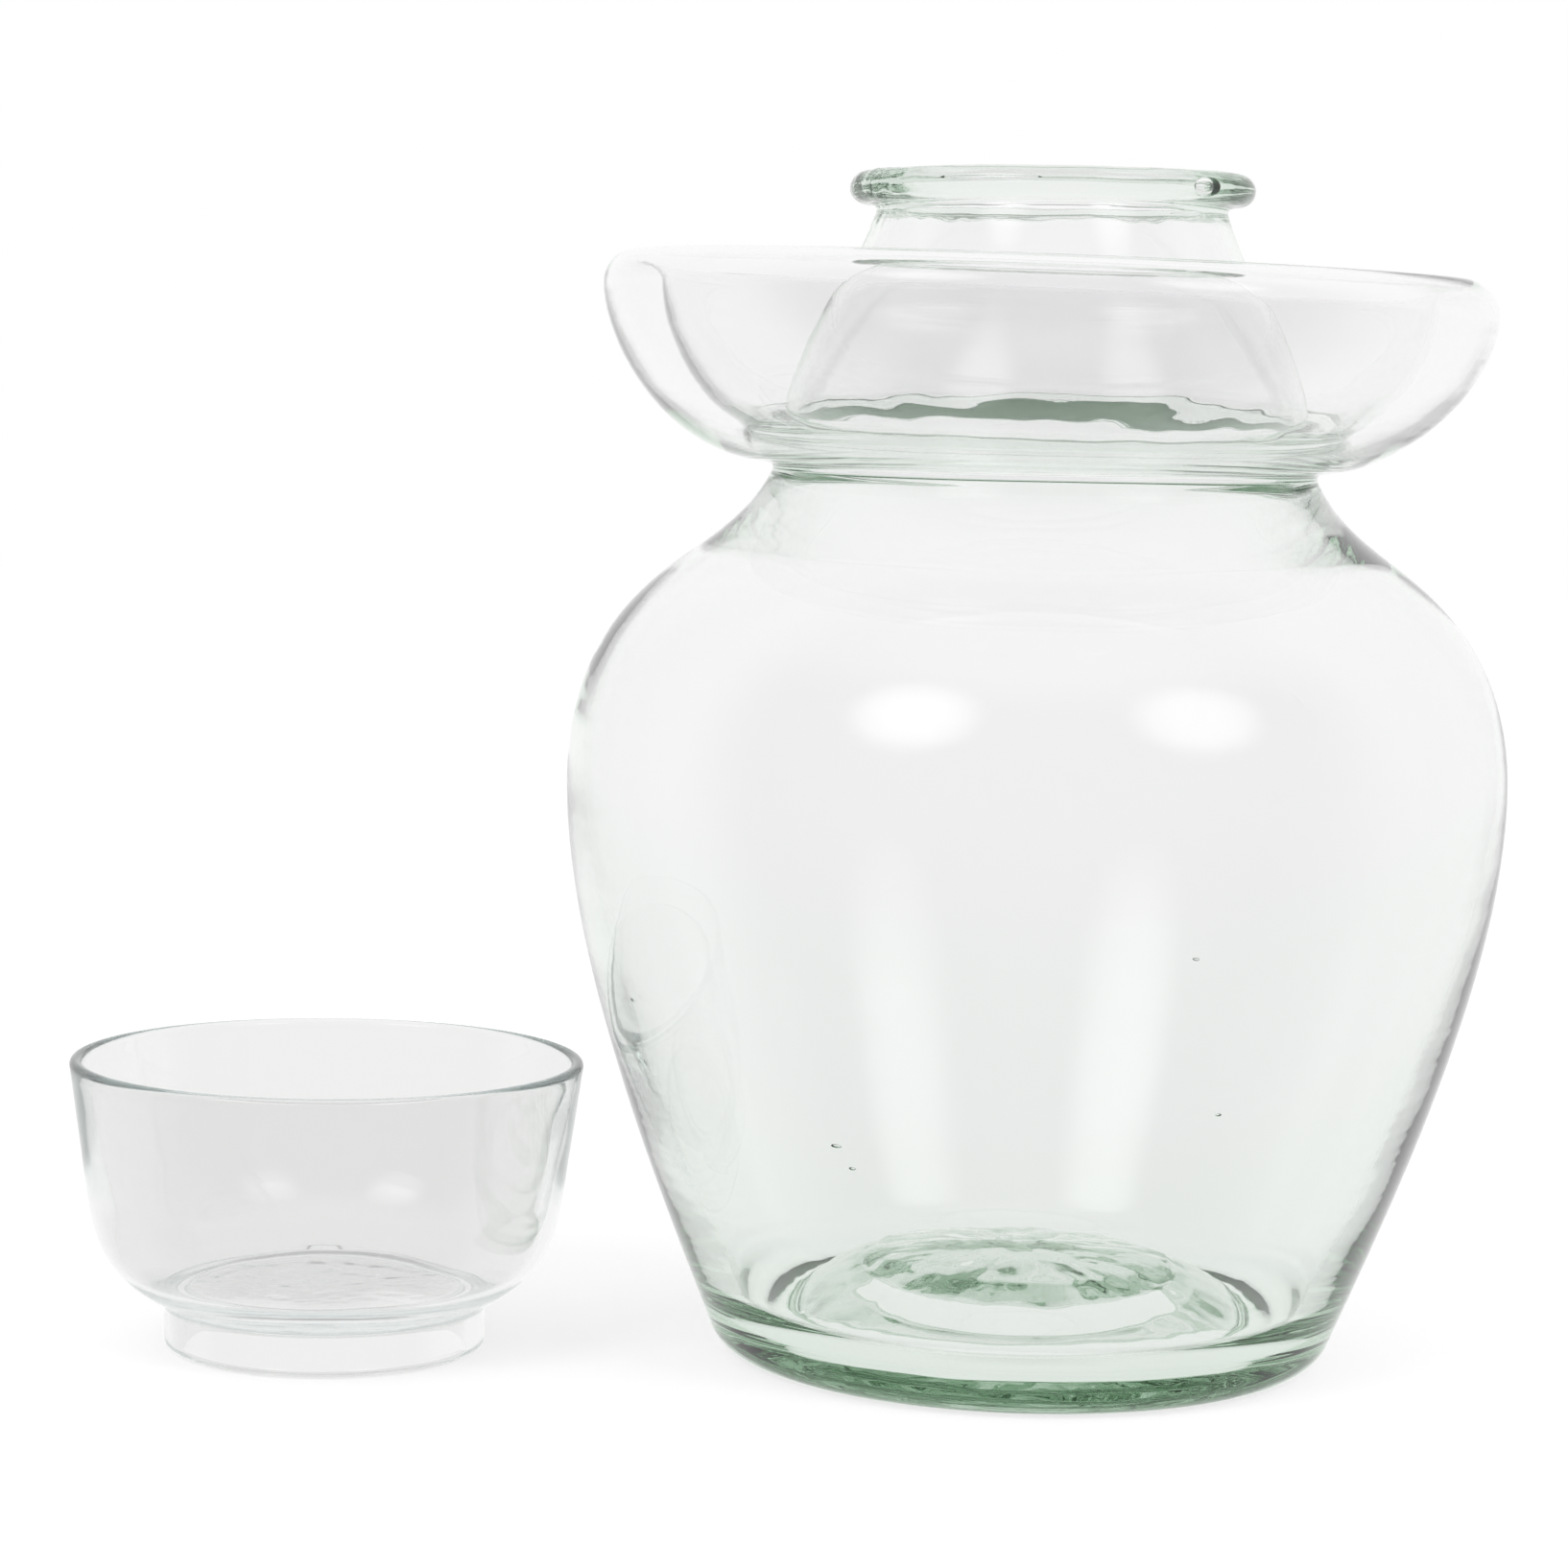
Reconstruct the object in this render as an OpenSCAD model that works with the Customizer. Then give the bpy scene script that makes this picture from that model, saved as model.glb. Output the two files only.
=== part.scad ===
// Water seal pickle jar of blown green-tinted glass, with the pressed-glass bowl that is its lid.
// The jar stands on z = 0 with its axis through the origin. The lid stands upright beside it, taken off.
// The jar is one gather of glass. Its zones meet face to face, and each is a solid of its own.

/* [Jar body] */
// Widest diameter of the belly
belly_d = 185; // [165:1:205]
// Height of the widest line above the table
belly_z = 113; // [104:1:122]
// Diameter of the standing ring, where the heel starts to turn up
foot_d = 108.2; // [98:0.1:118]
// Radius of the rounded heel
heel_round = 8; // [5:0.5:10]
// Angle of the lower wall from upright
wall_lean = 21.3; // [17:0.1:25]
// Height of the heavy base, where the belly's thinner wall takes over
base_h = 30; // [24:1:40]
// Diameter where the shoulder changes from bulging out to sweeping in
shoulder_d = 135; // [128:1:145]
// Height of that change
shoulder_z = 158.2; // [153:0.1:161]
// Angle of the shoulder there, above level
shoulder_slope = 35.6; // [28:0.1:42]
// Outer diameter of the neck where the trough folds out
seam_d = 105; // [98:0.5:110]
// Height of that fold above the table
seam_z = 175; // [172:0.5:182]
// Angle of the neck from upright at the fold
neck_lean = 22; // [12:1:30]

/* [Glass of the body] */
// Wall at the heel, where the gather is heaviest
heel_wall = 7; // [4:0.1:9]
// Wall at the belly
belly_wall = 2.6; // [1.6:0.1:4]
// Wall at the shoulder
shoulder_wall = 2.2; // [1.6:0.1:3.4]
// Wall at the neck
neck_wall = 3.7; // [3:0.1:5]
// Thickness of the floor inside the heel
floor_t = 7.5; // [5:0.1:10]
// Diameter of the hollow under the base
punt_d = 92; // [80:1:94]
// Height of the hollow under the base
punt_h = 12; // [6:0.5:16]
// Thickness at the middle of the pushed-up base
punt_t = 8; // [5:0.1:11]

/* [Water trough] */
// Outer diameter of the trough
trough_d = 174.2; // [164:0.1:190]
// Height of the trough's rim above the neck fold
trough_h = 39.2; // [32:0.1:46]
// Glass of the trough's two walls
trough_wall = 2.2; // [1.4:0.1:2.8]
// Width of the rolled rim, across both walls and the hollow
rim_w = 12.8; // [9:0.1:16]
// Height of the trough's floor above the neck fold
floor_h = 5.6; // [5:0.1:7]
// Width of the floor, from the domed neck to where the inner wall turns up
floor_w = 5; // [3:0.1:9]

/* [Mouth] */
// Height of the mouth above the neck fold
mouth_h = 57.3; // [50:0.1:66]
// Outer diameter of the domed neck under the lip
throat_d = 67.2; // [60:0.1:74]
// Wall of the domed neck
dome_wall = 2.2; // [1.4:0.1:2.8]
// How far the rolled lip stands out from the neck
lip_out = 5.7; // [4:0.1:8]
// Height of the rolled lip
lip_h = 6.2; // [4.4:0.1:8]
// Wall of the glass folded in at the mouth
skirt_wall = 1.6; // [1:0.1:2]
// Space between the folded glass and the neck
skirt_gap = 0.4; // [0.2:0.1:1.5]
// How far the folded glass hangs below the lip
skirt_h = 4; // [1:0.1:7]

/* [Lid] */
// How much smaller than the foot of the dome the lid's bore is, which seats it above the trough's floor
seat_step = 3.4; // [1:0.1:8]
// Height of the lid
lid_h = 57; // [50:0.5:64]
// Wall at the lid's rim
rim_wall = 2.5; // [1.8:0.1:3.4]
// How far the lid's side leans in, from the rim to the round bottom
side_in = 3.8; // [1:0.1:6]
// Wall where the side meets the round bottom
side_wall = 3.8; // [2.5:0.1:5]
// Height there
side_z = 29; // [25:0.5:33]
// Thickness of the lid's bottom
bottom_t = 4.4; // [3:0.1:6]
// Outer diameter of the lid's foot ring
lid_foot_d = 62.8; // [56:0.1:70]
// Height of the foot ring
lid_foot_h = 8.8; // [6:0.1:12]
// Wall of the foot ring
lid_foot_wall = 4; // [3:0.1:6]
// Rounding at the bottom of the foot ring
lid_foot_round = 1.5; // [0.6:0.1:1.5]

/* [Lid beside the jar] */
// Space between the lid's rim and the jar's side
lid_gap = 5.6; // [3:0.1:40]
// How far the lid stands in front of the jar's axis
lid_front = 9; // [0:1:30]

/* [Hidden] */
$fn = 96;
STEPS = 14;      // straight pieces in a long curve
FEW = 6;         // straight pieces in a short round
JAR_GREEN = [0.80, 0.90, 0.84, 0.45];
TROUGH_GREEN = [0.84, 0.92, 0.87, 0.45];
LIP_GREEN = [0.72, 0.86, 0.77, 0.55];
LID_CLEAR = [0.90, 0.93, 0.94, 0.45];
FOOT_CLEAR = [0.84, 0.88, 0.89, 0.60];

// How far each curve holds the direction that it starts or ends with
HEEL_PULL = 21;
BELLY_PULL_DOWN = 37.5;
BELLY_PULL_UP = 26.3;
SHOULDER_PULL = 13.4;
NECK_PULL = 8;
TROUGH_PULL_OUT = 19.2;
TROUGH_PULL_UP = 13.1;
LINER_PULL_OUT = 10;
LINER_PULL_UP = 11;
DOME_PULL_LOW = 8.7;
DOME_PULL_HIGH = 15;
BOWL_PULL_LOW = 10;
BOWL_PULL_HIGH = 11.4;

// Leans from upright that only the look of a curve depends on
LINER_LEAN = 62;
DOME_LEAN = 11;
THROAT_LEAN = -17.6;
BOWL_LEAN = 62.5;

belly_r = belly_d / 2;
foot_r = foot_d / 2;
shoulder_r = shoulder_d / 2;
seam_r = seam_d / 2;
passage_r = seam_r - neck_wall;
dome_r = passage_r + dome_wall;
floor_r = dome_r + floor_w;
floor_z = seam_z + floor_h;
collar_z = seam_z + trough_wall;
trough_r = trough_d / 2;
rim_r = trough_r - rim_w / 2;
rim_z = seam_z + trough_h - rim_w / 2;
liner_r = trough_r - rim_w;
jar_h = seam_z + mouth_h;
lip_z = jar_h - lip_h;
throat_r = throat_d / 2;
throat_bore_r = throat_r - dome_wall;
skirt_r = throat_bore_r - skirt_gap;
mouth_r = skirt_r - skirt_wall;
lip_r = throat_r + lip_out;
lid_r = dome_r - seat_step + rim_wall;
side_r = lid_r - side_in;
lid_foot_r = lid_foot_d / 2;
lid_floor_z = lid_foot_h + bottom_t;

// A unit step at an angle from upright, outward where the angle is positive
function leaning(angle) = [sin(angle), cos(angle)];

// Points of a cubic curve from a to b, which leaves along da and arrives along db
function sweep(a, da, db, b, n = STEPS) = [
    for (i = [0 : n]) let(t = i / n, u = 1 - t)
        u * u * u * a + 3 * u * u * t * (a + da) + 3 * u * t * t * (b - db) + t * t * t * b
];

// Points of an arc about c
function arc(c, r, from, to, n = FEW) = [
    for (i = [0 : n]) let(w = from + (to - from) * i / n) c + r * [cos(w), sin(w)]
];

function back(points) = [for (i = [len(points) - 1 : -1 : 0]) points[i]];
function rest(points) = [for (i = [1 : len(points) - 1]) points[i]];
function middle(points) = [for (i = [1 : len(points) - 2]) points[i]];

// Square to the curve at its point i, to the right of its travel
function side(points, i) =
    let(d = points[min(i + 1, len(points) - 1)] - points[max(i - 1, 0)]) [d[1], -d[0]] / norm(d);

// The curve moved to the left of its travel by a wall, which may be a table of [height, wall]
function inset(points, wall) = [
    for (i = [0 : len(points) - 1])
        points[i] - (is_list(wall) ? lookup(points[i][1], wall) : wall) * side(points, i)
];

// The jar's outside: rounded heel, belly, shoulder and neck
down_shoulder = leaning(shoulder_slope - 90);
heel_out = arc([foot_r, heel_round], heel_round, -90, -wall_lean);
heel_end = heel_out[FEW];
belly_at = [belly_r, belly_z];
shoulder_at = [shoulder_r, shoulder_z];
seam_at = [seam_r, seam_z];
side_out = concat(
    sweep(heel_end, HEEL_PULL * leaning(wall_lean), [0, BELLY_PULL_DOWN], belly_at),
    rest(sweep(belly_at, [0, BELLY_PULL_UP], SHOULDER_PULL * down_shoulder, shoulder_at)),
    rest(sweep(shoulder_at, NECK_PULL * down_shoulder, NECK_PULL * leaning(-neck_lean), seam_at))
);
body_outside = concat(heel_out, rest(side_out));

// The jar's inside: the same side set in by the wall, then the floor and the pushed-up base
wall_at = [
    [heel_round, heel_wall], [belly_z, belly_wall], [shoulder_z, shoulder_wall], [seam_z, neck_wall]
];
side_in_all = inset(side_out, wall_at);
side_inside = [for (p = middle(side_in_all)) if (p[1] > floor_t + heel_round) p];
body_inside = concat(
    [[passage_r, seam_z]],
    back(side_inside),
    rest(sweep(
        side_inside[0], heel_round * leaning(180 + wall_lean), [-heel_round / 2, 0],
        [punt_d / 2, floor_t], FEW
    )),
    rest(sweep([punt_d / 2, floor_t], [-floor_t, 0], [-punt_d / 5, 0], [0, punt_h + punt_t]))
);
punt_under = sweep([0, punt_h], [punt_d / 5, 0], [floor_t, 0], [punt_d / 2, 0]);
body_outline = concat(punt_under, body_outside, body_inside);

// The trough's outer wall, outside and towards the hollow, with level ends where the inner wall rests on it
trough_out = sweep(seam_at, [TROUGH_PULL_OUT, 0], [0, TROUGH_PULL_UP], [trough_r, rim_z]);
trough_hollow = concat(
    [[seam_r, collar_z]],
    middle(inset(trough_out, trough_wall)),
    [[trough_r - trough_wall, rim_z]]
);

// The trough's inner wall, towards the water and towards the hollow
liner_water = sweep(
    [floor_r, floor_z], LINER_PULL_OUT * leaning(LINER_LEAN), [0, LINER_PULL_UP], [liner_r, rim_z]
);
liner_hollow = inset(liner_water, -trough_wall);

// The domed neck, outside and inside
dome_out = sweep(
    [dome_r, floor_z], DOME_PULL_LOW * leaning(DOME_LEAN), DOME_PULL_HIGH * leaning(THROAT_LEAN),
    [throat_r, lip_z]
);
dome_in = inset(dome_out, dome_wall);

// The lid's bowl, outside and inside
lid_side_lean = atan(side_in / (lid_h - rim_wall / 2 - side_z));
bowl_outside = sweep(
    [lid_foot_r, lid_foot_h], BOWL_PULL_LOW * leaning(BOWL_LEAN),
    BOWL_PULL_HIGH * leaning(lid_side_lean), [side_r, side_z]
);
bowl_inside = sweep(
    [lid_foot_r - lid_foot_wall, lid_floor_z], [BOWL_PULL_LOW, 0],
    BOWL_PULL_HIGH * leaning(lid_side_lean), [side_r - side_wall, side_z]
);

// The lid stands clear of the jar's side, measured at the height of the lid's rim
body_r_by_height = [for (p = body_outside) [p[1], p[0]]];
lid_x = lookup(lid_h, body_r_by_height) + lid_r + lid_gap;

// A glass shape turned from its half outline of [radius, height] points
module turned(outline) {
    rotate_extrude() polygon(outline);
}

// Where the lid stands
module lid_place() {
    translate([-lid_x, -lid_front, 0]) children();
}

// The body's glass between two heights
module body_zone(low, high) {
    color(JAR_GREEN) intersection() {
        turned(body_outline);
        translate([0, 0, low]) cylinder(h = high - low, d = belly_d + heel_round);
    }
}

module jar_base() {
    body_zone(-heel_round, base_h);
}

module jar_belly() {
    body_zone(base_h, belly_z);
}

module jar_shoulder() {
    body_zone(belly_z, seam_z + heel_round);
}

module trough_outer_wall() {
    color(TROUGH_GREEN)
        turned(concat(
            [[passage_r, seam_z]],
            trough_out,
            back(trough_hollow),
            [[passage_r, collar_z]]
        ));
}

module trough_inner_wall() {
    color(TROUGH_GREEN)
        turned(concat(
            [[passage_r, collar_z], [seam_r, collar_z]],
            liner_hollow,
            rest(arc([rim_r, rim_z], rim_w / 2 - trough_wall, 180, 0)),
            arc([rim_r, rim_z], rim_w / 2, 0, 180, 2 * FEW),
            rest(back(liner_water)),
            [[passage_r, floor_z]]
        ));
}

module mouth_neck() {
    color(JAR_GREEN)
        turned(concat(dome_out, [[throat_bore_r, lip_z]], back(middle(dome_in)), [[passage_r, floor_z]]));
}

module mouth_lip() {
    nose = lip_h / 2;
    color(LIP_GREEN)
        turned(concat(
            [[mouth_r, lip_z - skirt_h], [skirt_r, lip_z - skirt_h], [skirt_r, lip_z]],
            arc([lip_r - nose, jar_h - nose], nose, -90, 90, 2 * FEW),
            arc([skirt_r, jar_h - skirt_wall], skirt_wall, 90, 180)
        ));
}

module lid_bowl() {
    rim_round = rim_wall / 2;
    color(LID_CLEAR) lid_place()
        turned(concat(
            [[0, lid_foot_h]],
            bowl_outside,
            arc([lid_r - rim_round, lid_h - rim_round], rim_round, 0, 180, 2 * FEW),
            back(bowl_inside),
            [[0, lid_floor_z]]
        ));
}

module lid_foot_ring() {
    bore_r = lid_foot_r - lid_foot_wall;
    color(FOOT_CLEAR) lid_place()
        turned(concat(
            arc([bore_r + lid_foot_round, lid_foot_round], lid_foot_round, 180, 270),
            arc([lid_foot_r - lid_foot_round, lid_foot_round], lid_foot_round, 270, 360),
            [[lid_foot_r, lid_foot_h], [bore_r, lid_foot_h]]
        ));
}

jar_base();
jar_belly();
jar_shoulder();
trough_outer_wall();
trough_inner_wall();
mouth_neck();
mouth_lip();
lid_bowl();
lid_foot_ring();
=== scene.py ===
"""Water seal pickle jar: a blown-glass jar with a water trough round its domed mouth, and beside it the
pressed-glass bowl that is its lid. Each piece is one closed skin of glass, turned from an outline and then
given the unevenness of its making. Lengths are in millimetres until a mesh is made, and angles are in
degrees. An outline is a list of points, each a radius and a height."""

import itertools
import math

import bpy
import numpy as np
from mathutils import Matrix, Vector


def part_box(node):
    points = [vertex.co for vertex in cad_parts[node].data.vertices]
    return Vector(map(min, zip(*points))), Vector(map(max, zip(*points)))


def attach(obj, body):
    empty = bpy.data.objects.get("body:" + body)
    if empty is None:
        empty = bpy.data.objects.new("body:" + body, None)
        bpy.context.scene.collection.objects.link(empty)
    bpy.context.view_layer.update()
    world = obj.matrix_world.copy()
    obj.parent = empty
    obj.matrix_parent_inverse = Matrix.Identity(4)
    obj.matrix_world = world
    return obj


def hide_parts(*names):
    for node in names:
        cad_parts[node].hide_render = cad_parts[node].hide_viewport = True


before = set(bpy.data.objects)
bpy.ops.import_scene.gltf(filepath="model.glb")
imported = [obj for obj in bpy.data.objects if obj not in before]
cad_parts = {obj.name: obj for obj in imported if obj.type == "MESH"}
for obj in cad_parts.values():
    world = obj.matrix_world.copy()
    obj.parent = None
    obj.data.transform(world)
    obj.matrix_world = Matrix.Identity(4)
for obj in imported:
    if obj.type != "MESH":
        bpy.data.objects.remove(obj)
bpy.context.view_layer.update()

MM = 0.001

# Columns round the jar, which keep it under 200,000 triangles, and round the lid
AROUND = 232
LID_AROUND = 220


def top(node):
    """The highest point of a CAD node."""
    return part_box(node)[1].z / MM


def reach(node):
    """The largest radius of a CAD node about its own upright axis."""
    low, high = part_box(node)
    return (high.x - low.x) / 2 / MM


# Sizes from the frame, some less what the unevenness of the glass adds
BELLY_R = reach("jar_belly") - 0.5
BELLY_Z = top("jar_belly")
SEAM_Z = top("jar_shoulder")
TROUGH_R = reach("trough_outer_wall") - 0.3
JAR_H = top("mouth_lip") - 0.4
LIP_R = reach("mouth_lip")

# The side. A lean is from upright, outward where it is positive, and a pull is how strongly a curve
# keeps to its direction at a point
HEEL = 8
FOOT_R = 54.1
HEEL_PULL = 21
WALL_LEAN = 21.3
BELLY_PULL_LOW = 37.5
BELLY_PULL_HIGH = 26.3
SHOULDER = (67.5, 158.2)
SHOULDER_LEAN = 35.6 - 90
SHOULDER_PULL_LOW = 13.4
SHOULDER_PULL_HIGH = 8
SEAM_R = 52.5
NECK_LEAN = -22
NECK_PULL = 8

# Heights up the side, and the thickness of the glass at each
WALLS = ((8, 30, 113, 158.2, 175), (7, 5.6, 2.6, 2.2, 3.7))

# The pushed-up base: its thickness at the edge and in the middle, and the recess under it
FLOOR_T = 7.5
BASE_T = 8
RECESS_R = 46
RECESS_H = 12
CROWN_PULL = 0.8 * RECESS_R
RECESS_EDGE_PULL = (4, -3)
BASE_EDGE_PULL = (-5, 3)

# The trough, from the neck fold over the rolled rim to its floor
RIM_TUBE = 6.4
RIM_Z = SEAM_Z + 39.2 - RIM_TUBE
TROUGH_WALL = 2.2
ROLL_WALL = 1.3
TROUGH_PULL_OUT = 19.2
TROUGH_PULL_UP = 13.1
WATERSIDE_LEAN = 62
WATERSIDE_PULL_LOW = 10
WATERSIDE_PULL_HIGH = 11
TROUGH_FLOOR_Z = SEAM_Z + 5.6
FLOOR_R = 56
FLOOR_CORNER = 1.5

# The sealed hollow inside the trough: where its two sides begin, and the corner of its bottom
HOLLOW_OUTER_R = SEAM_R + 7
HOLLOW_INNER_R = SEAM_R + 7.4
HOLLOW_CORNER = (SEAM_R + 4, SEAM_Z + 2.6)

# The domed neck, the passage through it and the rolled lip
DOME_R = 51
DOME_LEAN = 11
DOME_PULL = 8.7
THROAT_R = 33.6
THROAT_LEAN = -17.6
THROAT_PULL = 15
PASSAGE_R = 48.8
LIP_TUBE = 3.1
LIP_Z = JAR_H - 2 * LIP_TUBE

# The glass folded in at the mouth: its thickness, its lower edge, how much less it hangs on the near
# side, the share of the cut that is left there, and the groove behind it
MOUTH_R = 29.4
SKIRT = 1.6
SKIRT_R = MOUTH_R + SKIRT
HEM_Z = LIP_Z - 1.5
HEM_DROP = 1.6
HEM_NEAR_CUT = 0.3
GROOVE = ((SKIRT_R, LIP_Z - 0.4), (SKIRT_R + 0.2, LIP_Z), (SKIRT_R + 0.4, LIP_Z - 0.6))

# Bubbles in the lip: bearing from the front, height over the lip's ring, reach beyond it, length, thickness
BUBBLES = (
    (-22, 0.6, 0.5, 20, 1.1),
    (47, 0, 0.4, 7.5, 2.3),
    (118, 0, 0, 12, 1.3),
)

# Seeds in the glass of the side: bearing from the front, height, length, thickness
SEEDS = (
    (-29, 52.6, 2.2, 0.8),
    (-27, 48.5, 1.4, 0.7),
    (22, 61, 1.2, 0.6),
    (-64, 74, 1.6, 0.6),
    (150, 66, 1.8, 0.7),
)
SEED_DEPTH = 1.3
BUBBLE_ROWS = 19
BUBBLE_COLUMNS = 14

# How far the handmade jar is out of true
LEAN = (math.tan(math.radians(0.19)), math.tan(math.radians(0.13)))
TROUGH_TILT = math.tan(math.radians(1.07))
LIP_TILT = math.tan(math.radians(0.45))

# Sizes of the lid
LID_LOW, LID_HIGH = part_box("lid_bowl")
LID_AT = ((LID_LOW.x + LID_HIGH.x) / 2 / MM, (LID_LOW.y + LID_HIGH.y) / 2 / MM)
LID_R = reach("lid_bowl")
LID_H = top("lid_bowl")
LID_RIM = 1.25
LID_FOOT_R = reach("lid_foot_ring")
LID_FOOT_H = top("lid_foot_ring")
LID_FOOT_WALL = 4
LID_FOOT_ROUND = 1.5
LID_FOLD = 1
LID_BOTTOM_CORNER = 1.2
LID_FLOOR_Z = LID_FOOT_H + 4.4
LID_LOW_LEAN = 62.5
LID_LOW_PULL = 10
LID_SIDE_Z = 29
LID_SIDE_IN = 3.8
LID_SIDE_WALL = 3.8
LID_SIDE_PULL = 11.4

# Layers of unevenness: how high each is, the lengths along x, y and z over which it changes, and its seed
SLOW_WAVE = (0.09, 38, 1)
TURNED_RINGS = (0.028, (60, 60, 4.5), 2)
BASE_LUMPS = ((0.34, (24, 11, 60), 3), (0.08, (9, 4, 60), 4))
FLOOR_CRUMPLE = ((0.09, (11, 11, 5), 5), (0.06, (4.2, 4.2, 3), 6))
LIP_WAVES = ((0.09, (11, 11, 5), 7), (0.03, (3.4, 3.4, 7), 8))
LIP_TORN = (0.16, (2.6, 2.6, 3.4), 9)
HEM_CUT = ((0.7, (6, 6, 90), 12), (0.35, (2.4, 2.4, 90), 13))
LID_WAVE = (0.06, (16, 16, 12), 11)
LID_GRAIN = (0.04, 3.2, 14)
LID_RING_HEIGHT = 0.02
LID_RING_STEP = 8
INSIDE_EXTRA = 0.8

# Where a layer is: from none at the first value of a pair to all of it at the second
ABOVE_TABLE = (0, 1.5)
BASE_HEIGHT = (30, 24)
BASE_REACH = (52, 44)
BASE_MIDDLE = (1, 12)
BASE_STANDS = 0.5
FLOOR_REACH_OUT = (68, 57)
FLOOR_REACH_IN = (47, 52)
FLOOR_FROM = (SEAM_Z - 1, SEAM_Z + 2)
FLOOR_TO = (RIM_Z - 9, TROUGH_FLOOR_Z + 4)
MOUTH_FROM = (RIM_Z + 10, LIP_Z)
TORN_SIDE = (-24, -31)
TILTED_TROUGH = (57, 80)
TILTED_NECK = (50, 42)
HEM_FAR_SIDE = (-0.5, 1)
HEM_REACH = (SKIRT_R + 0.3, SKIRT_R + 0.1)
HEM_FROM = (LIP_Z + 2, HEM_Z)
LID_ABOVE_TABLE = (0, 2)
LID_BELOW_RIM = (LID_H + 1, LID_H - 2)
LID_BOTTOM_REACH = (LID_FOOT_R - 2, LID_FOOT_R - 8)
LID_BOTTOM_FROM = LID_FOOT_H - 1

# The camera, fitted to the photograph: its focus in pixels, its place, and its pitch and roll
PHOTO_SIDE = 1634
SENSOR = 36
CAMERA_FOCUS = 4421.6
CAMERA_AT = (-48.93, -831.6, 192.74)
CAMERA_PITCH = 5.565
CAMERA_ROLL = 1.251

# The world: its plain level, how grey the room in front and to the left is to the glass, and the part of
# the sky where each greys
PLAIN_LEVEL = 0.9
ROOM = 0.5
LEFT_SHADE = 0.1
ROOM_FRONT = (0.25, -0.35)
ROOM_OVERHEAD = (0.55, 0.9)
ROOM_LEFT = (-0.35, -0.8)

# Bearing from the front, height above level, half width and strength of what glass sees of each lamp
SOFT_BOXES = ((-37, 33, 18, 1.8), (41, 33, 18, 1.55))

# The lamps, in metres and watts
LAMP_DISTANCE = 1.5
LAMP_SIZE = 0.5
LAMP_POWER = 6
LAMP_AIM_Z = 0.12

# The table, in metres, and its greys: what it gives off, what of it takes shadow, and what the jar is lit by
TABLE_REACH = 3.0
TABLE_DROP = 0.0002
TABLE_WHITE = 0.72
TABLE_SHADED = 0.34
TABLE_MATT = 0.9

# Light that is caught in the walls by total reflection leaves them only after dozens of turns
BOUNCES = 48
IOR = 1.5


# Outlines

def leaning(angle):
    """A unit step at an angle from upright, outward where the angle is positive."""
    return np.array([math.sin(math.radians(angle)), math.cos(math.radians(angle))])


def sweep(a, leave, arrive, b, rows):
    """A cubic Bezier curve from a to b that leaves along one vector and arrives along the other."""
    a, leave, arrive, b = (np.asarray(v, float) for v in (a, leave, arrive, b))
    t = np.linspace(0, 1, rows + 1)[:, None]
    u = 1 - t
    return u**3 * a + 3 * u * u * t * (a + leave) + 3 * u * t * t * (b - arrive) + t**3 * b


def arc(centre, radius, start, end, rows):
    """Points of a circle between two angles from level."""
    w = np.radians(np.linspace(start, end, rows + 1))
    return np.asarray(centre, float) + radius * np.stack([np.cos(w), np.sin(w)], 1)


def line(a, b, rows):
    """Points of a straight line."""
    return np.linspace(a, b, rows + 1)


def bend(a, corner, b, rows):
    """A quadratic curve that rounds a corner from a to b."""
    a, corner, b = (np.asarray(v, float) for v in (a, corner, b))
    t = np.linspace(0, 1, rows + 1)[:, None]
    return (1 - t) ** 2 * a + 2 * t * (1 - t) * corner + t * t * b


def right_of(points):
    """Unit vectors square to a curve, to the right of its travel: its step turned by 90 degrees."""
    step = np.gradient(points, axis=0)
    return np.stack([step[:, 1], -step[:, 0]], 1) / np.hypot(step[:, 0], step[:, 1])[:, None]


def inset(points, wall):
    """A curve moved to the left of its travel by a wall, one number or one for each point."""
    return points - np.broadcast_to(np.reshape(wall, (-1, 1)), (len(points), 1)) * right_of(points)


def joined(*stretches, nearest=0.02):
    """One outline from several, without the points that they share."""
    points = np.vstack(stretches)
    keep = np.r_[True, np.hypot(*np.diff(points, axis=0).T) > nearest]
    return points[keep]


# Unevenness

def step_between(none, full, value):
    """0 on the far side of none, 1 on the far side of full, and between them a smooth cubic step. Either
    may be the larger."""
    t = np.clip((value - none) / (full - none), 0, 1)
    return t * t * (3 - 2 * t)


def noise(points, seed):
    """Smooth noise from about -1 to 1: each corner of a unit lattice has a fixed slope, and a quintic
    step blends the eight slopes round a point."""
    cell = np.floor(points).astype(np.int64)
    f = points - cell
    fade = f**3 * (f * (f * 6 - 15) + 10)
    total = np.zeros(points.shape[:-1])
    for corner in itertools.product((0, 1), repeat=3):
        c = cell + corner
        h = c[..., 0] * 73856093 ^ c[..., 1] * 19349663 ^ c[..., 2] * 83492791 ^ seed * 2971215073
        h = (h ^ (h >> 13)) * 1274126177 & 0x7FFFFFFF
        slope = np.stack([(h >> shift & 255) / 127.5 - 1 for shift in (4, 12, 20)], -1)
        weight = np.prod(np.where(np.array(corner), fade, 1 - fade), -1)
        total += weight * np.sum(slope * (f - corner), -1)
    return 1.4 * total


def layers(points, *kinds):
    """The sum of some layers of unevenness: noise on the points shrunk by a layer's lengths, times its
    height."""
    return sum(height * noise(points / lengths, seed) for height, lengths, seed in kinds)


# Skins

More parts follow.
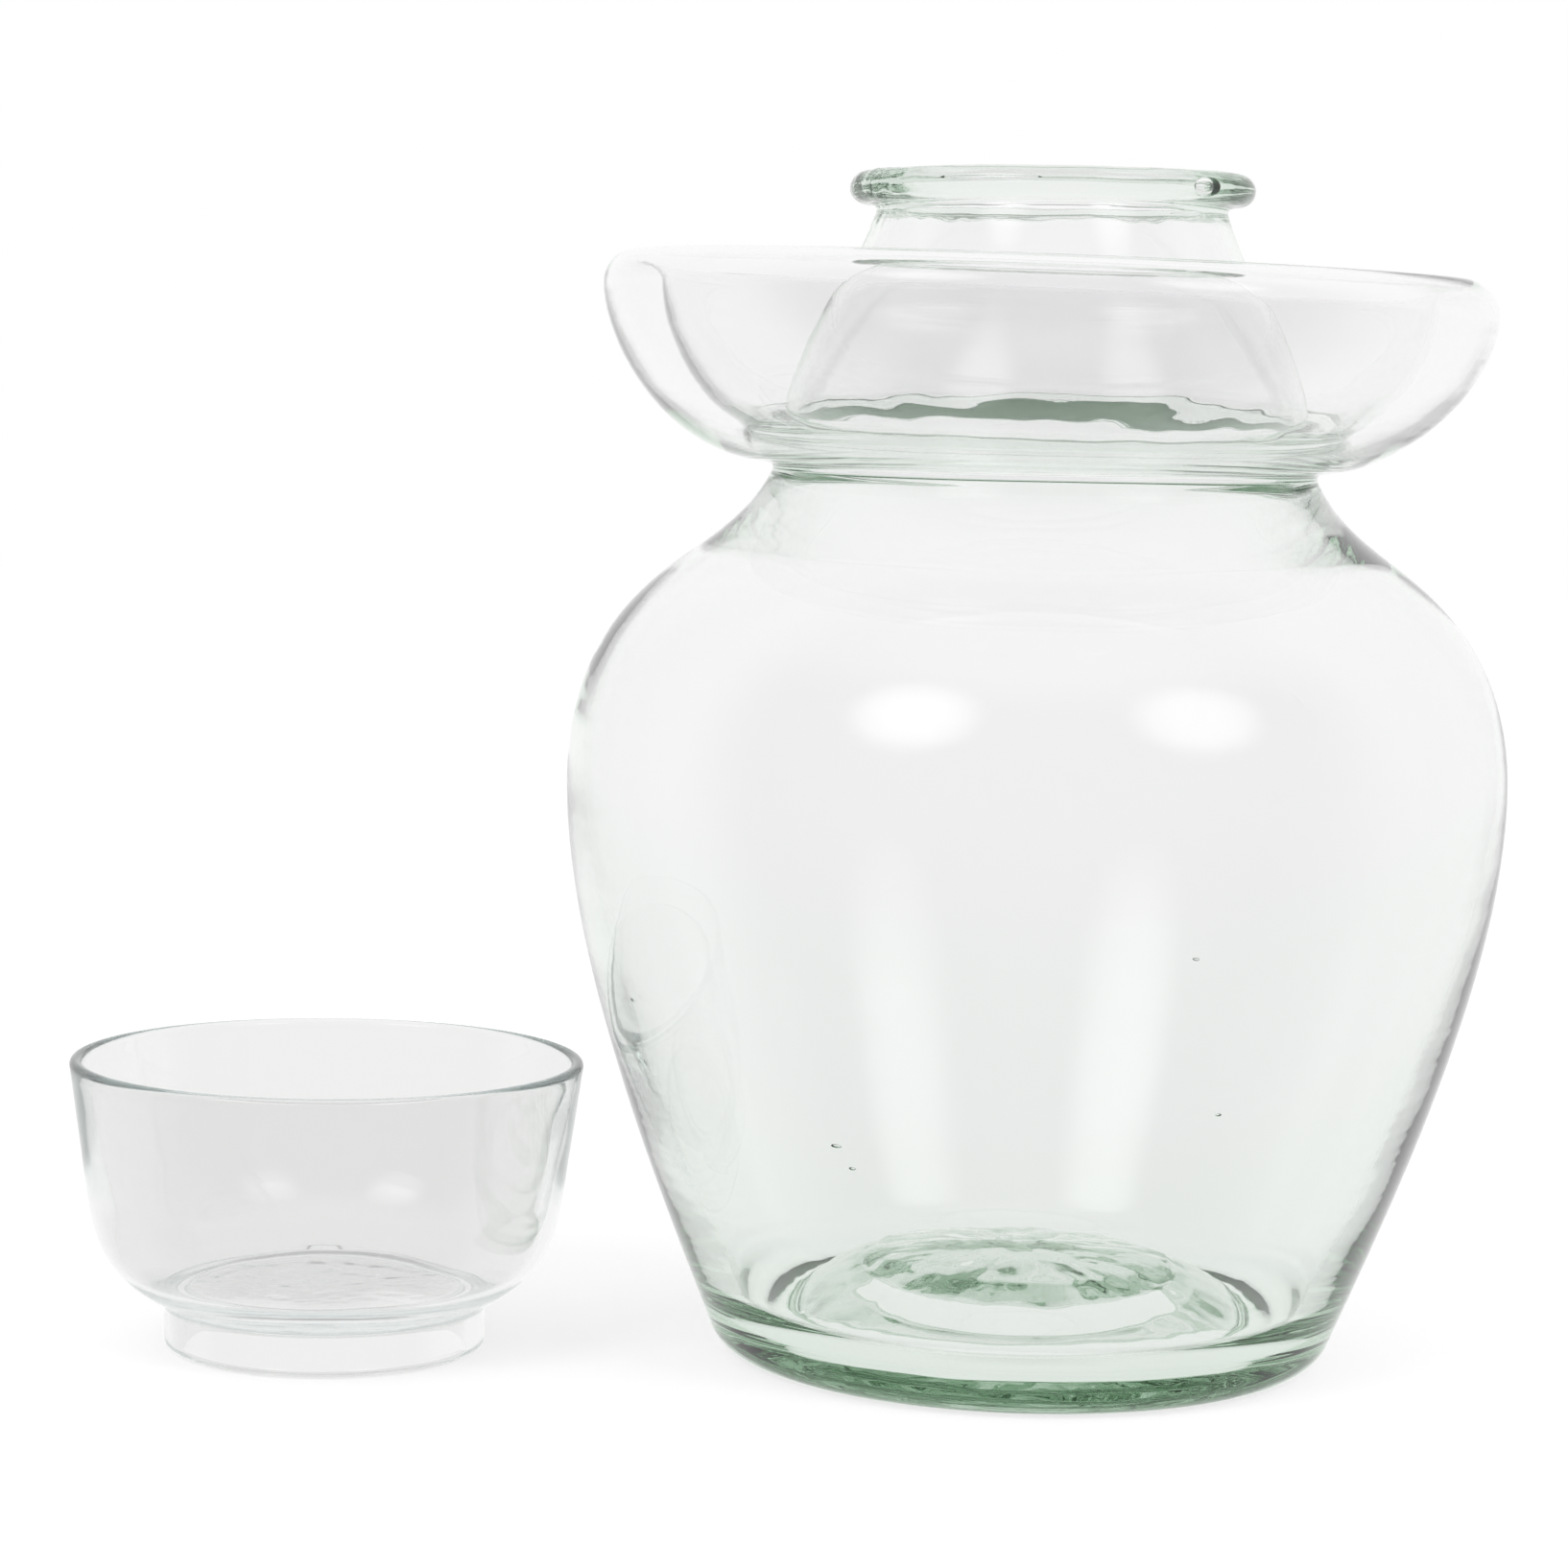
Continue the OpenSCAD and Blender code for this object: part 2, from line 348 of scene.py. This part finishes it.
def turned(outline, around):
    """The outline turned about the z axis: rows along the outline, columns round it. It turns an outline's
    unit vectors in the same way."""
    w = np.linspace(0, 2 * np.pi, around, endpoint=False)
    r, z = outline[:, :1], outline[:, 1:]
    return np.stack([r * np.cos(w), r * np.sin(w), np.broadcast_to(z, (len(r), around))], -1)


def capped(grid):
    """Vertices and faces of a turned grid whose first and last rows lie on the axis: each of these
    rows becomes one vertex, with a fan of triangles."""
    rows, around = grid.shape[0] - 2, grid.shape[1]
    verts = np.vstack([grid[0].mean(0)[None], grid[1:-1].reshape(-1, 3), grid[-1].mean(0)[None]])
    i, j = np.meshgrid(np.arange(rows - 1), np.arange(around), indexing="ij")
    k = (j + 1) % around
    quads = np.stack([i * around + j, i * around + k, (i + 1) * around + k, (i + 1) * around + j], -1)
    quads = quads.reshape(-1, 4) + 1
    ring = np.arange(around)
    after = (ring + 1) % around
    last = (rows - 1) * around + 1
    first_fan = np.stack([np.zeros_like(ring), after + 1, ring + 1], -1)
    last_fan = np.stack([np.full_like(ring, len(verts) - 1), last + ring, last + after], -1)
    return verts, quads.tolist() + first_fan.tolist() + last_fan.tolist()


def ringed(grid):
    """Vertices and faces of a turned grid whose outline is closed, as a ring's is."""
    rows, around = grid.shape[:2]
    i, j = np.meshgrid(np.arange(rows), np.arange(around), indexing="ij")
    a, k = (i + 1) % rows, (j + 1) % around
    quads = np.stack([i * around + j, i * around + k, a * around + k, a * around + j], -1)
    return grid.reshape(-1, 3), quads.reshape(-1, 4).tolist()


def glass_piece(name, skins, at=(0, 0)):
    """One object from several closed skins, placed in the mesh and smooth all over."""
    verts, faces, start = [], [], 0
    for points, skin_faces in skins:
        verts.append(points)
        faces += [[v + start for v in face] for face in skin_faces]
        start += len(points)
    verts = (np.vstack(verts) + [at[0], at[1], 0]) * MM
    mesh = bpy.data.meshes.new(name)
    mesh.from_pydata(verts.tolist(), [], faces)
    mesh.shade_smooth()
    piece = bpy.data.objects.new(name, mesh)
    bpy.context.scene.collection.objects.link(piece)
    return piece


# The jar

def body_side():
    """The jar's outside from the heel's round end over the belly and the shoulder to the neck fold, as
    three cubic curves."""
    over_shoulder = leaning(SHOULDER_LEAN)
    heel_end = arc((FOOT_R, HEEL), HEEL, -90, -WALL_LEAN, rows=1)[-1]
    belly = (BELLY_R, BELLY_Z)
    seam = (SEAM_R, SEAM_Z)
    return joined(
        sweep(heel_end, HEEL_PULL * leaning(WALL_LEAN), (0, BELLY_PULL_LOW), belly, rows=28),
        sweep(belly, (0, BELLY_PULL_HIGH), SHOULDER_PULL_LOW * over_shoulder, SHOULDER, rows=22),
        sweep(SHOULDER, SHOULDER_PULL_HIGH * over_shoulder, NECK_PULL * leaning(NECK_LEAN), seam, rows=12),
    )


def trough_outside():
    """The trough's outer wall from the neck fold to the rolled rim."""
    return sweep((SEAM_R, SEAM_Z), (TROUGH_PULL_OUT, 0), (0, TROUGH_PULL_UP), (TROUGH_R, RIM_Z), rows=22)


def trough_waterside():
    """The trough's inner wall from its floor to the rolled rim."""
    low = WATERSIDE_PULL_LOW * leaning(WATERSIDE_LEAN)
    rim = (TROUGH_R - 2 * RIM_TUBE, RIM_Z)
    return sweep((FLOOR_R, TROUGH_FLOOR_Z), low, (0, WATERSIDE_PULL_HIGH), rim, rows=22)


def dome_outside():
    """The domed neck from the trough's floor to the lip."""
    low, high = DOME_PULL * leaning(DOME_LEAN), THROAT_PULL * leaning(THROAT_LEAN)
    return sweep((DOME_R, TROUGH_FLOOR_Z), low, high, (THROAT_R, LIP_Z), rows=26)


def jar_outline():
    """The jar's whole skin, from the axis under the base, over the outside, into the mouth and down the
    inside to the axis again."""
    side, outer, waterside, dome = body_side(), trough_outside(), trough_waterside(), dome_outside()
    inside = inset(side, np.interp(side[:, 1], *WALLS))
    inside = inside[inside[:, 1] > FLOOR_T + HEEL]
    dome_inside = inset(dome, TROUGH_WALL)
    lip_ring = (LIP_R - LIP_TUBE, JAR_H - LIP_TUBE)
    mouth_top = (SKIRT_R, JAR_H)
    mouth_side = (MOUTH_R, JAR_H - SKIRT)
    return joined(
        sweep((0, RECESS_H), (CROWN_PULL, 0), RECESS_EDGE_PULL, (RECESS_R, 0), rows=24),
        line((RECESS_R, 0), (FOOT_R, 0), rows=3),
        arc((FOOT_R, HEEL), HEEL, -90, -WALL_LEAN, rows=10),
        side[:-1],
        bend(side[-2], side[-1], outer[1], rows=9),
        outer[1:],
        arc((TROUGH_R - RIM_TUBE, RIM_Z), RIM_TUBE, 0, 180, rows=16),
        waterside[:0:-1],
        bend(waterside[1], (FLOOR_R, TROUGH_FLOOR_Z), (FLOOR_R - FLOOR_CORNER, TROUGH_FLOOR_Z), rows=4),
        bend((DOME_R + FLOOR_CORNER, TROUGH_FLOOR_Z), (DOME_R, TROUGH_FLOOR_Z), dome[1], rows=4),
        dome[1:-1],
        bend(dome[-2], (THROAT_R, LIP_Z), (lip_ring[0], LIP_Z), rows=4),
        arc(lip_ring, LIP_TUBE, -90, 90, rows=16),
        line((lip_ring[0], JAR_H), mouth_top, rows=3),
        bend(mouth_top, (MOUTH_R, JAR_H), mouth_side, rows=4),
        line(mouth_side, (MOUTH_R, HEM_Z), rows=6),
        arc((MOUTH_R + SKIRT / 2, HEM_Z), -SKIRT / 2, 0, 180, rows=5),
        line((SKIRT_R, HEM_Z), GROOVE[0], rows=4),
        bend(*GROOVE, rows=4),
        dome_inside[-3:0:-1],
        line((PASSAGE_R, TROUGH_FLOOR_Z), (PASSAGE_R, SEAM_Z), rows=4),
        inside[:0:-1],
        sweep(inside[0], HEEL * leaning(180 + WALL_LEAN), (-HEEL / 2, 0), (RECESS_R, FLOOR_T), rows=10),
        sweep((RECESS_R, FLOOR_T), BASE_EDGE_PULL, (-CROWN_PULL, 0), (0, RECESS_H + BASE_T), rows=24),
    )


def hollow_outline():
    """The sealed hollow between the trough's two walls, with the glass to the left of its travel. An inset
    curve overshoots at its end, so its last point is left out."""
    thin = ((SEAM_Z, RIM_Z), (TROUGH_WALL, ROLL_WALL))
    outer, inner = trough_outside(), trough_waterside()
    outer = inset(outer, np.interp(outer[:, 1], *thin))[:-1]
    inner = inset(inner, -np.interp(inner[:, 1], *thin))[:-1]
    outer = outer[outer[:, 0] > HOLLOW_OUTER_R]
    inner = inner[inner[:, 0] > HOLLOW_INNER_R]
    bottom = bend(outer[0], HOLLOW_CORNER, inner[0], rows=6)
    roof = arc((TROUGH_R - RIM_TUBE, RIM_Z), RIM_TUBE - ROLL_WALL, 180, 0, rows=12)
    return joined(bottom[:-1], inner, roof, outer[::-1])[:-1]


def out_of_true(points):
    """The jar's lean, in proportion to height, after the tilts of its trough, which rises towards -x, and
    of its lip, which rises towards x."""
    x, y, z = (points[..., k] for k in range(3))
    r = np.hypot(x, y)
    trough = step_between(*TILTED_TROUGH, r) * step_between(SEAM_Z, RIM_Z, z)
    lip = step_between(RIM_Z, LIP_Z, z) * step_between(*TILTED_NECK, r)
    z = z - TROUGH_TILT * x * trough + LIP_TILT * x * lip
    return np.stack([x + LEAN[0] * z, y + LEAN[1] * z, z], -1)


def blown(points, normals):
    """The unevenness of blown glass, along the normals: a slow wave everywhere, rings from turning the
    pipe, lumps on the pushed-up base and the trough's floor, and rough work round the mouth."""
    x, z = points[..., 0], points[..., 2]
    r = np.hypot(x, points[..., 1])
    inner = np.sum(points[..., :2] * normals[..., :2], -1) < 0
    slow = layers(points, SLOW_WAVE) * (1 + INSIDE_EXTRA * inner) * step_between(*ABOVE_TABLE, z)
    base = step_between(*BASE_HEIGHT, z) * step_between(*BASE_REACH, r) * (z > BASE_STANDS)
    base = base * step_between(*BASE_MIDDLE, r)
    floor = step_between(*FLOOR_REACH_OUT, r) * step_between(*FLOOR_REACH_IN, r)
    floor = floor * step_between(*FLOOR_FROM, z) * step_between(*FLOOR_TO, z)
    mouth = step_between(*MOUTH_FROM, z)
    torn = mouth * step_between(*TORN_SIDE, x)
    amount = slow + layers(points, TURNED_RINGS)
    amount = amount + base * layers(points, *BASE_LUMPS) + floor * layers(points, *FLOOR_CRUMPLE)
    amount = amount + mouth * layers(points, *LIP_WAVES) + torn * layers(points, LIP_TORN)
    return points + amount[..., None] * normals


def ragged_hem(points):
    """The edge of the glass folded in at the mouth: it hangs lowest on the far side, and the cut is
    uneven. Each height below the lip is moved by its share."""
    x, y, z = (points[..., k] for k in range(3))
    r = np.hypot(x, y)
    far = step_between(*HEM_FAR_SIDE, y / np.maximum(r, 1))
    cut = layers(points, *HEM_CUT) * (HEM_NEAR_CUT + (1 - HEM_NEAR_CUT) * far)
    hangs = step_between(*HEM_REACH, r) * step_between(*HEM_FROM, z)
    low = points.copy()
    low[..., 2] = z - hangs * (HEM_DROP * (far - 1) + cut)
    return low


def bubble(bearing, height, radius, length, thick):
    """An air bubble drawn out along a ring: its thickness follows the square root of a sine along its
    length. Its faces look into the air."""
    t = np.linspace(0, 1, BUBBLE_ROWS)
    w = np.linspace(0, 2 * np.pi, BUBBLE_COLUMNS, endpoint=False)
    along = math.radians(bearing) + (t - 0.5)[:, None] * length / radius
    half = thick / 2 * np.sqrt(np.sin(np.pi * t))[:, None]
    r = radius + half * np.cos(w)
    return np.stack([r * np.sin(along), -r * np.cos(along), height + half * np.sin(w)], -1)


def bubbles():
    """The drawn-out bubbles in the lip and the seeds low in the side."""
    side = body_side()
    found = []
    for bearing, over, beyond, length, thick in BUBBLES:
        found.append(bubble(bearing, JAR_H - LIP_TUBE + over, LIP_R - LIP_TUBE + beyond, length, thick))
    for bearing, height, length, thick in SEEDS:
        radius = np.interp(height, side[:, 1], side[:, 0])
        found.append(bubble(bearing, height, radius - SEED_DEPTH - thick / 2, length, thick))
    return [capped(out_of_true(points)) for points in found]


def jar():
    """The whole jar as one piece of glass, with the trough's sealed hollow and the bubbles."""
    outline = jar_outline()
    skin = out_of_true(ragged_hem(blown(turned(outline, AROUND), turned(right_of(outline), AROUND))))
    skin[..., 2] = np.maximum(skin[..., 2], 0)
    hollow = out_of_true(turned(hollow_outline(), AROUND))
    return glass_piece("jar_glass", [capped(skin), ringed(hollow), *bubbles()])


# The lid

def lid_outline():
    """The lid's whole skin, from the axis under the bowl, over the foot ring, the side and the rim, and
    down the inside to the axis again."""
    bore = LID_FOOT_R - LID_FOOT_WALL
    corner_r, corner_z = bore - LID_BOTTOM_CORNER, LID_FOOT_H - LID_BOTTOM_CORNER
    fold = (LID_FOOT_R, LID_FOOT_H - LID_FOLD)
    side_lean = math.degrees(math.atan(LID_SIDE_IN / (LID_H - LID_RIM - LID_SIDE_Z)))
    side_r = LID_R - LID_SIDE_IN
    low, up = LID_LOW_PULL * leaning(LID_LOW_LEAN), LID_SIDE_PULL * leaning(side_lean)
    outside = sweep((LID_FOOT_R, LID_FOOT_H), low, up, (side_r, LID_SIDE_Z), rows=30)
    inside_top = (side_r - LID_SIDE_WALL, LID_SIDE_Z)
    inside = sweep((bore, LID_FLOOR_Z), (LID_LOW_PULL, 0), up, inside_top, rows=30)
    rim = arc((LID_R - LID_RIM, LID_H - LID_RIM), LID_RIM, 0, 180, rows=14)
    return joined(
        line((0, LID_FOOT_H), (corner_r, LID_FOOT_H), rows=26),
        bend((corner_r, LID_FOOT_H), (bore, LID_FOOT_H), (bore, corner_z), rows=4),
        line((bore, corner_z), (bore, LID_FOOT_ROUND), rows=6),
        arc((bore + LID_FOOT_ROUND, LID_FOOT_ROUND), LID_FOOT_ROUND, 180, 270, rows=6),
        arc((LID_FOOT_R - LID_FOOT_ROUND, LID_FOOT_ROUND), LID_FOOT_ROUND, 270, 360, rows=6),
        line((LID_FOOT_R, LID_FOOT_ROUND), fold, rows=6),
        bend(fold, (LID_FOOT_R, LID_FOOT_H), outside[1], rows=4),
        outside[1:],
        line(outside[-1], rim[0], rows=16)[1:],
        rim,
        line(rim[-1], inside[-1], rows=16),
        inside[::-1],
        line((bore, LID_FLOOR_Z), (0, LID_FLOOR_Z), rows=24),
    )


def lid():
    """The whole lid as one piece of pressed glass: a slow wave all over it, and on its bottom a fine grain
    and faint rings, a cosine of the radius."""
    outline = lid_outline()
    points, normals = turned(outline, LID_AROUND), turned(right_of(outline), LID_AROUND)
    z = points[..., 2]
    r = np.hypot(points[..., 0], points[..., 1])
    wave = layers(points, LID_WAVE) * step_between(*LID_ABOVE_TABLE, z) * step_between(*LID_BELOW_RIM, z)
    bottom = step_between(*LID_BOTTOM_REACH, r) * (z > LID_BOTTOM_FROM)
    rings = LID_RING_HEIGHT * np.cos(2 * np.pi * r / LID_RING_STEP)
    amount = wave + bottom * (layers(points, LID_GRAIN) + rings)
    return glass_piece("lid_glass", [capped(points + amount[..., None] * normals)], LID_AT)


# Materials

class Socket:
    """A shader socket that turns arithmetic into Math nodes."""

    def __init__(self, tree, link):
        self.tree, self.link = tree, link

    def maths(self, operation, *others):
        node = self.tree.nodes.new("ShaderNodeMath")
        node.operation = operation
        for socket, value in zip(node.inputs, (self, *others)):
            wire(self.tree, socket, value)
        return Socket(self.tree, node.outputs[0])

    def __add__(self, other):
        return self.maths("ADD", other)

    def __sub__(self, other):
        return self.maths("SUBTRACT", other)

    def __rsub__(self, other):
        return (self * -1) + other

    def __mul__(self, other):
        return self.maths("MULTIPLY", other)

    __radd__, __rmul__ = __add__, __mul__


def wire(tree, socket, value):
    """Links a socket's value, or sets a plain one."""
    if isinstance(value, Socket):
        tree.links.new(value.link, socket)
    else:
        socket.default_value = value


class Shader:
    """A node tree under construction."""

    def __init__(self, owner):
        owner.use_nodes = True
        self.tree = owner.node_tree
        self.tree.nodes.clear()

    def node(self, kind, values=None, out=0, **settings):
        """Adds a node: its settings first, then the values or links of its sockets. It gives the output
        that is asked for, or each of a list of them, and nothing for a node that has none."""
        node = self.tree.nodes.new("ShaderNode" + kind)
        for name, value in settings.items():
            setattr(node, name, value)
        for name, value in (values or {}).items():
            wire(self.tree, node.inputs[name], value)
        if isinstance(out, list):
            return [Socket(self.tree, node.outputs[name]) for name in out]
        return Socket(self.tree, node.outputs[out]) if node.outputs else None

    def smooth(self, value, none, full):
        """A smooth step from 0 at none to 1 at full."""
        values = {"Value": value, "From Min": none, "From Max": full}
        return self.node("MapRange", values, interpolation_type="SMOOTHSTEP")

    def rays(self):
        """1 for a ray from the camera, a glossy one and one that comes through glass."""
        return self.node("LightPath", out=["Is Camera Ray", "Is Glossy Ray", "Is Transmission Ray"])


def grey(level):
    """A grey of a level, as a colour."""
    return (level, level, level, 1)


def glass(name, clear, tint, density, grain, strength):
    """Clear glass: clear is what each skin lets through, tint and density colour it by its depth, and a
    fine ripple has the given grain."""
    material = bpy.data.materials.new(name)
    s = Shader(material)
    place = s.node("TexCoord", out="Object")
    stretched = s.node("Mapping", {"Vector": place, "Scale": grain})
    ripple = s.node("TexNoise", {"Vector": stretched, "Scale": 1.0, "Detail": 2.0})
    bump = s.node("Bump", {"Height": ripple, "Strength": strength, "Distance": MM})
    surface = s.node("BsdfPrincipled", {
        "Base Color": (*clear, 1), "Roughness": 0.0, "IOR": IOR, "Transmission Weight": 1.0, "Normal": bump,
    })
    volume = s.node("VolumeAbsorption", {"Color": (*tint, 1), "Density": density})
    s.node("OutputMaterial", {"Surface": surface, "Volume": volume})
    return material


# The studio

def aimed(azimuth, elevation):
    """A unit step at a bearing from the front and an angle above level."""
    a, e = math.radians(azimuth), math.radians(elevation)
    return math.sin(a) * math.cos(e), -math.cos(a) * math.cos(e), math.sin(e)


def studio_world():
    """Plain white for the camera. Glass sees a white backdrop behind the jar and overhead, a greyer room
    in front, and two soft boxes there."""
    world = bpy.data.worlds.new("studio")
    bpy.context.scene.world = world
    s = Shader(world)
    to = s.node("TexCoord")
    x, y, z = s.node("SeparateXYZ", {"Vector": to}, out=["X", "Y", "Z"])
    front = s.smooth(y, *ROOM_FRONT) * (1 - s.smooth(z, *ROOM_OVERHEAD))
    left = s.smooth(x, *ROOM_LEFT) * LEFT_SHADE
    room = 1 - front * (1 - ROOM) - left * (1 - front)
    for azimuth, elevation, half_width, strength in SOFT_BOXES:
        near = s.node("VectorMath", {0: to, 1: aimed(azimuth, elevation)}, "Value", operation="DOT_PRODUCT")
        room = room + s.smooth(near, math.cos(math.radians(half_width)), 1) * strength
    seen, glossy, through = s.rays()
    optical = glossy.maths("MAXIMUM", through)
    level = optical * room + (1 - optical) * PLAIN_LEVEL
    level = seen + (1 - seen) * level
    background = s.node("Background", {"Color": grey(1), "Strength": level})
    s.node("OutputWorld", {"Surface": background})


def floor():
    """A plain white table with a faint shadow. Glass sees the studio's light in its place."""
    mesh = bpy.data.meshes.new("floor")
    corners = [(x * TABLE_REACH, y * TABLE_REACH, 0) for x, y in ((-1, -1), (1, -1), (1, 1), (-1, 1))]
    mesh.from_pydata(corners, [], [(0, 1, 2, 3)])
    table = bpy.data.objects.new("floor", mesh)
    bpy.context.scene.collection.objects.link(table)
    table.location.z = -TABLE_DROP
    material = bpy.data.materials.new("white_table")
    s = Shader(material)
    seen, glossy, through = s.rays()
    matt = s.node("BsdfDiffuse", {"Color": grey(TABLE_MATT)})
    shaded = s.node("BsdfDiffuse", {"Color": grey(TABLE_SHADED)})
    white = s.node("Emission", {"Color": grey(1), "Strength": TABLE_WHITE})
    shown = s.node("AddShader", {0: shaded, 1: white})
    clear = s.node("BsdfTransparent")
    lights = s.node("MixShader", {0: glossy.maths("MAXIMUM", through), 1: matt, 2: clear})
    mixed = s.node("MixShader", {0: seen, 1: lights, 2: shown})
    s.node("OutputMaterial", {"Surface": mixed})
    mesh.materials.append(material)


def lamp(name, azimuth, elevation):
    """A square soft box that faces the jar, at a bearing from the front and an angle above level."""
    data = bpy.data.lights.new(name, "AREA")
    data.shape, data.size, data.energy = "SQUARE", LAMP_SIZE, LAMP_POWER
    light = bpy.data.objects.new(name, data)
    aim = Vector(aimed(azimuth, elevation))
    light.location = LAMP_DISTANCE * aim + Vector((0, 0, LAMP_AIM_Z))
    light.rotation_euler = aim.to_track_quat("Z", "Y").to_euler()
    light.visible_glossy = False
    light.visible_transmission = False
    bpy.context.scene.collection.objects.link(light)


def camera():
    """The photograph's view, from the fitted place, pitch and roll."""
    data = bpy.data.cameras.new("camera")
    data.sensor_width = SENSOR
    data.lens = SENSOR * CAMERA_FOCUS / PHOTO_SIDE
    pitch, roll = math.radians(CAMERA_PITCH), math.radians(CAMERA_ROLL)
    ahead = Vector((0, math.cos(pitch), -math.sin(pitch)))
    level = Vector((1, 0, 0))
    below = ahead.cross(level)
    right = math.cos(roll) * level - math.sin(roll) * below
    down = math.sin(roll) * level + math.cos(roll) * below
    place = Matrix((right, -down, -ahead)).transposed().to_4x4()
    place.translation = Vector(CAMERA_AT) * MM
    view = bpy.data.objects.new("camera", data)
    view.matrix_world = place
    bpy.context.scene.collection.objects.link(view)
    bpy.context.scene.camera = view


camera()
floor()
studio_world()
for lamp_name, (bearing, raised, _, _) in zip(("soft_box_left", "soft_box_right"), SOFT_BOXES):
    lamp(lamp_name, bearing, raised)

jar_green = glass(
    "jar_green_glass", clear=(1, 0.99, 0.999), tint=(0.35, 0.57, 0.38), density=20,
    grain=(30, 30, 170), strength=0.03,
)
lid_clear = glass(
    "lid_clear_glass", clear=(0.905, 0.905, 0.902), tint=(0.89, 0.92, 0.915), density=20,
    grain=(70, 70, 90), strength=0.012,
)

jar_piece = jar()
jar_piece.data.materials.append(jar_green)
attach(jar_piece, "jar")
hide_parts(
    "jar_base", "jar_belly", "jar_shoulder", "trough_outer_wall", "trough_inner_wall",
    "mouth_neck", "mouth_lip",
)
lid_piece = lid()
lid_piece.data.materials.append(lid_clear)
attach(lid_piece, "lid")
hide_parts("lid_bowl", "lid_foot_ring")

scene = bpy.context.scene
scene.view_settings.view_transform = "Standard"
scene.cycles.max_bounces = BOUNCES
scene.cycles.transmission_bounces = BOUNCES
scene.cycles.glossy_bounces = BOUNCES
